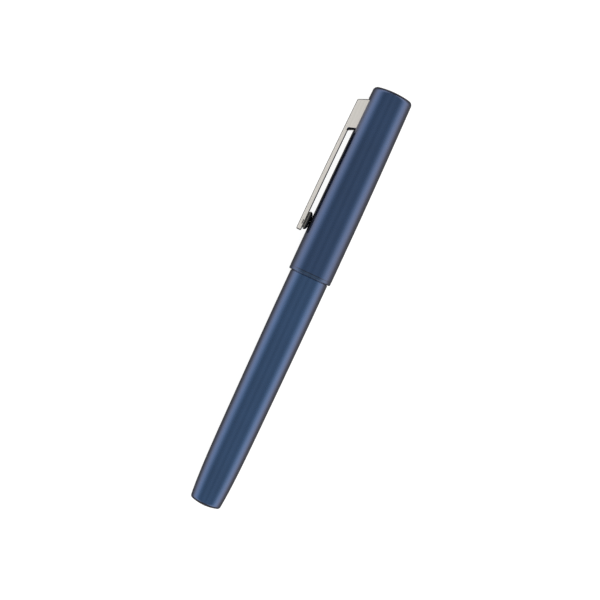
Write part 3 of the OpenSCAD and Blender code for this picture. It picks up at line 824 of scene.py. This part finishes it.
def cap_rows():
    """Outer and inner outlines of the cap, from the mouth to the top's centre."""
    dome_r, corner_r = 27.0, 1.5
    corner_x = cap_at(PEN_L - 2) - corner_r
    dome_z = PEN_L - dome_r
    corner_z = dome_z + math.sqrt((dome_r - corner_r) ** 2 - corner_x ** 2)
    dome_a = math.degrees(math.atan2(corner_z - dome_z, corner_x))
    lip_r, seam_z = CAP_R - 0.02, MOUTH_Z + LIP_L
    lip = [(lip_r - LIP_ROUND * (1 - u) ** 5, MOUTH_Z + LIP_L * u ** 1.5) for u in spread(0, 1, 16)]
    lip += rounded([
        (lip_r, seam_z + 0.01), (CAP_R - SEAM_DEPTH, seam_z + 0.03), (CAP_R - SEAM_DEPTH, seam_z + 0.19),
        (CAP_R, seam_z + 0.22, 0.02), (CAP_R, MOUTH_Z + 1.6),
    ], closed=False)
    body = [(cap_at(z), z) for z in spread(MOUTH_Z + 4, SLOT_Z0, 44)]
    body += [(cap_at(z), z) for z in spread(SLOT_Z0, SLOT_Z1, SLOT_ROWS)[1:]]
    body += [(cap_at(z), z) for z in spread(SLOT_Z1, corner_z, 4)[1:]]
    top = arc(corner_x, corner_z, corner_r, 6, dome_a, 14)
    top += arc(0, dome_z, dome_r, dome_a + 1, 90 - 0.7, 14) + [(0, PEN_L)]
    roof = PEN_L - 1
    inner = [(CAP_BORE_R + 0.08, MOUTH_Z), (CAP_BORE_R, MOUTH_Z + 0.1)]
    inner += [(cap_at(z) - WALL, z) for z in spread(MOUTH_Z + 2, SLOT_Z0, 30)]
    inner += [(cap_at(z) - WALL, z) for z in spread(SLOT_Z0, SLOT_INNER_Z1, SLOT_ROWS)[1:]]
    inner += [(cap_at(z) - WALL, z) for z in spread(SLOT_INNER_Z1, roof - 1, 3)[1:]]
    inner += [(cap_at(roof) - WALL - 1, roof), (0, roof)]
    return lip + body + top, inner


def make_cap_shell():
    """The cap, with the slot that the clip's root comes through."""
    outer, inner = cap_rows()
    bm = bmesh.new()

    def bow(i, power):
        """The slot's ends curve up: 0 in the clip's plane, 1 at the slot's side, dying away beside it."""
        k = min(i, CAP_SEGS - i)
        if k > SLOT_COLUMNS:
            return max(0.0, 1 - (k - SLOT_COLUMNS) / 4) ** 2
        return (k / SLOT_COLUMNS) ** power

    def slot_angle(i, r, z, top_z):
        """A column's angle. The slot's sides are parallel, so it is wider in angle inside the wall."""
        a = 2 * math.pi * i / CAP_SEGS
        if not SLOT_Z0 - 1e-4 < z < top_z + 1e-4:
            return a
        half = 2 * math.pi * SLOT_COLUMNS / CAP_SEGS
        wider = math.asin(cap_at(z) * math.sin(half) / r) - half
        k = min(i, CAP_SEGS - i)
        part = k / SLOT_COLUMNS if k <= SLOT_COLUMNS else max(0.0, 1 - (k - SLOT_COLUMNS) / 6)
        return a + wider * part * (1 if 2 * i < CAP_SEGS else -1)

    def rings(rows, top_z):
        """The rings of vertices, with those at the slot's ends on its outline."""
        out = []
        for r, z in rows:
            if r < 1e-6:
                out.append([bm.verts.new((0, 0, z))])
                continue
            ring = []
            for i in range(CAP_SEGS):
                a, up = slot_angle(i, r, z, top_z), 0.0
                if abs(z - SLOT_Z0) < 1e-4:
                    up = SLOT_RISE * bow(i, 2.6)
                elif abs(z - top_z) < 1e-4:
                    up = (r - r * math.cos(2 * math.pi * SLOT_COLUMNS / CAP_SEGS)) * SLANT * bow(i, 2)
                q = r + cap_at(z + up) - cap_at(z)
                ring.append(bm.verts.new((q * math.cos(a), q * math.sin(a), z + up)))
            out.append(ring)
        return out

    def skin(rows, ring, slot_top):
        """Faces between the rings, leaving the slot open."""
        for k in range(len(rows) - 1):
            a, b = ring[k], ring[k + 1]
            by_slot = rows[k][1] > SLOT_Z0 - 1e-4 and rows[k + 1][1] < slot_top + 1e-4
            for i in range(CAP_SEGS):
                if by_slot and (i < SLOT_COLUMNS or i >= CAP_SEGS - SLOT_COLUMNS):
                    continue
                quad(bm, a, b, i, (i + 1) % CAP_SEGS)

    out_rings, in_rings = rings(outer, SLOT_Z1), rings(inner, SLOT_INNER_Z1)
    skin(outer, out_rings, SLOT_Z1)
    skin(inner, in_rings, SLOT_INNER_Z1)
    quads(bm, out_rings[0], in_rings[0])

    def level(rows, z):
        """The number of the row nearest to a height."""
        return min(range(len(rows)), key=lambda k: abs(rows[k][1] - z))

    # the slot's ends, then its sides
    o0, o1 = level(outer, SLOT_Z0), level(outer, SLOT_Z1)
    n0, n1 = level(inner, SLOT_Z0), level(inner, SLOT_INNER_Z1)
    span = [(CAP_SEGS - SLOT_COLUMNS + i) % CAP_SEGS for i in range(2 * SLOT_COLUMNS + 1)]
    for o, n in ((o0, n0), (o1, n1)):
        for i, j in zip(span, span[1:]):
            bm.faces.new([out_rings[o][i], out_rings[o][j], in_rings[n][j], in_rings[n][i]])
    for i in (span[0], span[-1]):
        for k in range(o1 - o0):
            bm.faces.new([
                out_rings[o0 + k][i], out_rings[o0 + k + 1][i],
                in_rings[n0 + k + 1][i], in_rings[n0 + k][i],
            ])
    # the lip takes material 1, its tint a painted reflection, and the seam takes material 2, painted shade in
    # its groove
    for face in bm.faces:
        middle = face.calc_center_median()
        up = middle.z - MOUTH_Z - LIP_L
        if math.hypot(middle.x, middle.y) > CAP_R - 0.6 and up < 0.2:
            face.material_index = 2 if up > 0.005 else 1
    return finish_mesh(bm, "cap_shell_turned", 30)


cap_shell = make_cap_shell()
place(cap_shell, "cap", "blue_anodised", CAP_BLUE, "cap_shell")
cap_shell.data.materials.append(LIP_REFLECTION_BLUE)
cap_shell.data.materials.append(SEAM_SHADE_BLUE)


def make_inner_cap():
    """The liner, with the snap ring's groove near its mouth."""
    gap = 0.012
    groove, groove_r = 0.5, RING_R + RING_WIRE + 0.03
    outline = rounded(
        [(LINER_R + 0.25, LINER_Z0, 0.06), (CAP_BORE_R - gap - 0.2, LINER_Z0, 0.06),
         (CAP_BORE_R - gap, LINER_Z0 + 0.2, 0.06)]
        + [(cap_at(z) - WALL - gap, z) for z in spread(CAP_TAPER_Z, LINER_Z1, 12)]
        + [(LINER_R - 0.4, LINER_Z1, 0.05), (LINER_R - 0.4, CORE_STEP_Z + 6, 0.3),
           (LINER_R, CORE_STEP_Z + 3, 0.3),
           (LINER_R, DETENT_Z + groove, 0.04), (groove_r, DETENT_Z + groove, 0.04),
           (groove_r, DETENT_Z - groove, 0.04), (LINER_R, DETENT_Z - groove, 0.04),
           (LINER_R, LINER_Z0 + 0.25, 0.06)]
    )
    return turned("inner_cap_moulded", outline, segs=144)


place(make_inner_cap(), "cap", "grey_plastic", GREY_PLASTIC, "inner_cap")

seal = turned("tip_seal_moulded", rounded([
    (1.5, SEAL_Z, 0.12), (SEAL_R, SEAL_Z, 0.12), (SEAL_R, SEAL_Z + 1.35, 0.1), (1.95, SEAL_Z + 1.35, 0.05),
    (1.95, SEAL_Z + SEAL_L, 0.2), (0, SEAL_Z + SEAL_L), (0, SEAL_Z + SEAL_L - 0.9),
    (1.5, SEAL_Z + SEAL_L - 0.9, 0.3),
]), segs=96)
place(seal, "cap", "black_rubber", RUBBER, "tip_seal")

spring_foot = Vector((HEEL_X - CLIP_SPRING_L, 0, HEEL_Z))
clip_coil_path = coil_path(CLIP_SPRING_R, CLIP_SPRING_WIRE, 0, CLIP_SPRING_L - 0.01, 7)
clip_coil = swept("clip_spring_wire", clip_coil_path, CLIP_SPRING_WIRE)
place(clip_coil, "cap", "bright_steel", WIRE, "clip_spring",
      matrix=Matrix.Translation(spring_foot) @ Matrix.Rotation(math.pi / 2, 4, "Y"))
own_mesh(clip_coil)

# The moulded carrier is deep inside the cap: its CAD shape stays, in its own material.
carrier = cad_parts["clip_carrier"]
carrier.data.materials.clear()
carrier.data.materials.append(BLACK_PLASTIC)

# ---- clip ----


def plan_half_w(z):
    """Half the clip's width at a height, with the tip's corners rounded off in plan."""
    tip_r = 0.5
    d = max(0.0, CLIP_TIP_Z + tip_r - z)
    return clip_half_w(z) - tip_r + math.sqrt(max(0.0, tip_r ** 2 - d ** 2))


def inset(points, by):
    """The closed outline moved inwards, each point by its own distance."""
    out = []
    count = len(points)
    area = sum(a[0] * b[1] - b[0] * a[1] for a, b in zip(points, points[1:] + points[:1]))
    side = 1 if area > 0 else -1
    for i in range(count):
        here = Vector(points[i])
        a = (here - Vector(points[i - 1])).normalized()
        b = (Vector(points[(i + 1) % count]) - here).normalized()
        na, nb = Vector((-a.y, a.x)) * side, Vector((-b.y, b.x)) * side
        n = (na + nb).normalized()
        out.append(tuple(here + n * by[i] / max(0.4, n.dot(na))))
    return out


# The clip's edges, from the side face inwards: depth, and how far the outline is drawn in there,
# for the broken edge all round and for the crowned underside of the root block.
CLIP_EDGE = (
    (0.0, 0.30, 0.92), (0.012, 0.28, 0.89), (0.03, 0.265, 0.87), (0.40, 0.15, 0.60), (0.78, 0.02, 0.34),
    (0.86, 0.004, 0.28), (0.96, 0.0, 0.22), (1.6, 0.0, 0.05),
)


def make_clip():
    """The clip's arm and root block: its side view as an outline, with the edges broken all round."""
    root_x = CAP_BORE_R - 0.7
    corner, tip_round = 0.5, 0.34
    arm_end_z = WINDOW_Z - 0.65
    top_x, window_x = clip_at(CLIP_TOP_Z), clip_inner_at(arm_end_z)

    def tip_cut(h):
        """How far the tip's rounded corners are cut back at a height above the tip."""
        return tip_round - math.sqrt(tip_round ** 2 - max(0.0, tip_round - h) ** 2)

    heights = [0, 0.006, 0.02, 0.045, 0.08, 0.13, 0.19, 0.26, 0.34, 0.42, 0.5, 0.6, 0.8, 1.1, 1.5]
    arm = [CLIP_TIP_Z + h for h in heights] + spread(CLIP_TIP_Z + 2, arm_end_z, 40)
    outer = [(clip_at(z) - tip_cut(z - CLIP_TIP_Z), z) for z in arm]
    inner = [(clip_inner_at(z) + tip_cut(z - CLIP_TIP_Z), z) for z in reversed(arm)]
    top = [(clip_at(z), z) for z in spread(WINDOW_Z, CLIP_TOP_Z - 0.8, 8)]
    top += rounded([(clip_at(CLIP_TOP_Z - 0.6), CLIP_TOP_Z - 0.6), (top_x, CLIP_TOP_Z, 0.36),
                    (root_x, CLIP_TOP_Z + (top_x - root_x) * SLANT)], closed=False)
    window = [(root_x, WINDOW_Z + (window_x - root_x) * SLANT - 0.25)]
    bend = arc(window_x - corner, arm_end_z, corner, 66, 0, 8)[:-1]
    outline = outer + top + window + bend + inner
    crown = [0.0] * (len(outer) + len(top)) + [1.0] * len(window)
    crown += [1 - (k / len(bend)) ** 1.5 for k in range(len(bend))] + [0.0] * len(inner)
    inner_end = len(outer) + len(top) - 1
    bm = bmesh.new()
    rings = []
    for sign in (1, -1):
        for depth, edge, under in CLIP_EDGE if sign > 0 else reversed(CLIP_EDGE):
            ring = []
            shape = inset(outline, [edge + (under - edge) * c for c in crown])
            # the end inside the cap isn't drawn in
            for k in (inner_end, inner_end + 1):
                shape[k] = (root_x, shape[k][1])
            for x, z in shape:
                w = plan_half_w(max(z, CLIP_TIP_Z + 0.02))
                ring.append(bm.verts.new((x, sign * (w - depth * min(1, w / 1.7)), z)))
            rings.append(ring)
    for a, b in zip(rings, rings[1:]):
        quads(bm, a, b)
    # the broken edges are burnished, finish 1, and the side faces satin, finish 0
    for face in bm.faces:
        face.material_index = 1
    # side faces: a strip up the arm, and one face for the root block
    last_outer = len(outer) - 1
    first_inner = len(outline) - len(inner)
    for ring in (rings[0], rings[-1]):
        for k in range(last_outer):
            bm.faces.new([ring[k], ring[k + 1], ring[-2 - k], ring[-1 - k]])
        bm.faces.new(ring[last_outer:first_inner + 1])
    return finish_mesh(bm, "clip_forged", 24)


def make_tang():
    """The tang inside the cap, which the pin passes through, with the heel that the spring pushes."""
    root_x = CAP_BORE_R - 0.65
    points = rounded([
        (root_x, PIN_Z - 2.8), (PIN_X + 0.3, PIN_Z - 1.2, 0.3), (HEEL_X + 0.2, PIN_Z - 0.9, 0.3),
        (HEEL_X, PIN_Z - 0.5, 0.1), (HEEL_X, HEEL_Z + 1.2, 0.1), (HEEL_X + 0.8, HEEL_Z + 1.2, 0.3),
        (CAP_BORE_R - 0.5, CLIP_TOP_Z + 1.6, 0.2), (root_x, CLIP_TOP_Z + 1.45),
    ])
    bm = bmesh.new()
    a = [bm.verts.new((x, -TANG_W / 2, z)) for x, z in points]
    b = [bm.verts.new((x, TANG_W / 2, z)) for x, z in points]
    bm.faces.new(a)
    bm.faces.new(b)
    quads(bm, a, b)
    return bevelled(finish_mesh(bm, "clip_tang", 30), 0.08, 2, 40)


clip_body = make_clip()
place(clip_body, "clip", "satin_steel", STEEL, "clip")
clip_body.data.materials.append(EDGE_STEEL)
place(make_tang(), "clip", "satin_steel", STEEL)

pin = turned("clip_pin_rod", rounded([
    (0, -PIN_L / 2), (PIN_R, -PIN_L / 2, 0.12), (PIN_R, PIN_L / 2, 0.12), (0, PIN_L / 2),
], closed=False), segs=48, closed=False)
place(pin, "clip", "bright_steel", WIRE, "clip_pin",
      matrix=Matrix.Translation((PIN_X, 0, PIN_Z)) @ Matrix.Rotation(math.pi / 2, 4, "X"))


def stadium_stack(name, rows):
    """A solid from stadium-shaped rings under the clip: each row is (x, inset from the foot's edge)."""
    bm = bmesh.new()
    segs = 72
    rings = []
    for x, inset_by in rows:
        r = GLIDE_W / 2 - inset_by
        ring = []
        for i in range(segs):
            a = 2 * math.pi * (i + 0.5) / segs
            half = math.copysign((GLIDE_L - GLIDE_W) / 2, math.cos(a))
            ring.append(bm.verts.new((x, r * math.sin(a), GLIDE_Z + half + r * math.cos(a))))
        rings.append(ring)
    for a, b in zip(rings, rings[1:]):
        quads(bm, a, b)
    bm.faces.new(rings[0])
    bm.faces.new(rings[-1])
    return finish_mesh(bm, name, 40)


def make_glide():
    """The clip's foot: a neck against the arm and a domed pad that rests on the cap."""
    neck, low_x = 0.32, CAP_R + 0.001
    base = FOOT_X - 0.48
    rows = [(FOOT_X, neck), (FOOT_X - 0.27, neck), (FOOT_X - 0.28, 0.04), (base, 0.03)]
    for a in spread(6, 88, 15):
        a = math.radians(a)
        rows.append((base - (base - low_x) * math.sin(a), 0.03 + (GLIDE_W / 2 - 0.05) * (1 - math.cos(a))))
    return stadium_stack("clip_glide_moulded", rows)


place(make_glide(), "clip", "black_gloss", BLACK_GLOSS, "clip_glide")
# A pale ring between the foot's neck and pad: a painted highlight along the foot's rim.
seat = stadium_stack("clip_glide_highlight_seat", [
    (FOOT_X - 0.26, 0.10), (FOOT_X - 0.27, 0.02), (FOOT_X - 0.30, 0),
    (FOOT_X - 0.44, 0), (FOOT_X - 0.47, 0.02), (FOOT_X - 0.48, 0.10),
])
place(seat, "clip", "grey_plastic", SEAT_HIGHLIGHT_PLASTIC)


def make_glide_stem():
    """The foot's cross bar, whose narrow rounded ends lie flush in both sides of the arm."""
    x, z, length, r, proud = CLIP_INNER + 0.57, CLIP_TIP_Z + 2.75, 1.6, 0.15, 0.004
    segs = 32
    bm = bmesh.new()
    rings = []
    for side in (1, -1):
        ring = []
        for i in range(segs):
            a = 2 * math.pi * (i + 0.5) / segs
            end_z = z + math.copysign(length / 2 - r, math.cos(a)) + r * math.cos(a)
            ring.append(bm.verts.new((x + r * math.sin(a), side * (plan_half_w(end_z) + proud), end_z)))
        rings.append(ring)
        bm.faces.new(ring)
    quads(bm, *rings)
    return finish_mesh(bm, "clip_glide_stem", 40)


place(make_glide_stem(), "clip", "black_gloss", BLACK_GLOSS)

# ---- surface, light ----


def make_floor():
    """A pale light table: it glows evenly, so the pen leaves only a faint shadow on it."""
    half = 3.0
    bm = bmesh.new()
    corners = ((-half, -half), (half, -half), (half, half), (-half, half))
    bm.faces.new([bm.verts.new((x, y, 0)) for x, y in corners])
    floor = finish_mesh(bm, "floor", 30)
    s = Shader("floor_pale", (0.25, 0.25, 0.25), 0.8)
    s.tint(s.noise(60), 0.99, 1.01)
    s.bsdf.inputs["Specular IOR Level"].default_value = 0.1
    s.bsdf.inputs["Emission Color"].default_value = (1, 1, 1, 1)
    s.bsdf.inputs["Emission Strength"].default_value = 0.93
    floor.data.materials.append(s.material)
    # the pen's reflections see the studio's softboxes and dark cloth, and not the table
    for rays in ("glossy", "diffuse", "shadow", "transmission"):
        setattr(floor, "visible_" + rays, False)
    return floor


make_floor()

# Brightness of the studio round the pen's axis, by the angle from the camera's direction in degrees.
# Positive is towards the clip.
STUDIO = (
    (-180, 0.10), (-150, 0.12), (-138, 0.22), (-125, 0.35), (-115, 0.66), (-106, 1.30), (-98, 1.72),
    (-90, 1.98), (-80, 2.04), (-70, 1.56), (-62, 1.12), (-53, 0.76), (-42, 0.63), (-31, 0.70),
    (-15, 0.81), (0, 0.58), (15, 0.80), (31, 0.66), (44, 0.56), (53, 0.68), (62, 0.98), (70, 1.42),
    (80, 1.84), (92, 1.92), (106, 1.30), (115, 0.76), (125, 0.34), (138, 0.17), (150, 0.12), (180, 0.10),
)
STUDIO_TOP = 2.2  # brighter than the brightest of them
# the softbox on the side away from the clip is a little warmer
WARM, WARM_FROM, WARM_TO = (1.08, 1.04, 1.0), -125, -58


def make_world():
    """The studio as the pen sees it: a long softbox on each side of the pen, a dim fill on the
    camera's side and dark cloth behind. It's fixed to the room, in the pen's own directions."""
    world = bpy.data.worlds.new("studio")
    bpy.context.scene.world = world
    world.use_nodes = True
    tree = world.node_tree
    nodes, links = tree.nodes, tree.links
    background = nodes["Background"]
    coords = nodes.new("ShaderNodeTexCoord")

    def dot(v):
        """The view's share along a direction."""
        node = nodes.new("ShaderNodeVectorMath")
        node.operation = "DOT_PRODUCT"
        links.new(coords.outputs["Generated"], node.inputs[0])
        node.inputs[1].default_value = v
        return node.outputs["Value"]

    angle = nodes.new("ShaderNodeMath")
    angle.operation = "ARCTAN2"
    links.new(dot(TO_CLIP), angle.inputs[0])
    links.new(dot(TO_CAMERA), angle.inputs[1])
    turn = nodes.new("ShaderNodeMapRange")
    turn.inputs["From Min"].default_value = -math.pi
    turn.inputs["From Max"].default_value = math.pi
    links.new(angle.outputs[0], turn.inputs["Value"])
    ramp = nodes.new("ShaderNodeValToRGB")
    stops = ramp.color_ramp.elements
    while len(stops) < len(STUDIO):
        stops.new(0.5)
    for stop, (degrees, level) in zip(stops, STUDIO):
        stop.position = (degrees + 180) / 360
        tone = WARM if WARM_FROM <= degrees <= WARM_TO else (1, 1, 1)
        stop.color = (*[level * c / STUDIO_TOP for c in tone], 1)
    links.new(turn.outputs["Result"], ramp.inputs["Fac"])
    links.new(ramp.outputs["Color"], background.inputs["Color"])
    background.inputs["Strength"].default_value = STUDIO_TOP
    # what the camera sees past the table's edge is the same pale tone
    seen = nodes.new("ShaderNodeBackground")
    seen.inputs["Color"].default_value = (1, 1, 1, 1)
    path = nodes.new("ShaderNodeLightPath")
    mix = nodes.new("ShaderNodeMixShader")
    links.new(path.outputs["Is Camera Ray"], mix.inputs["Fac"])
    links.new(background.outputs[0], mix.inputs[1])
    links.new(seen.outputs[0], mix.inputs[2])
    links.new(mix.outputs[0], nodes["World Output"].inputs["Surface"])


make_world()
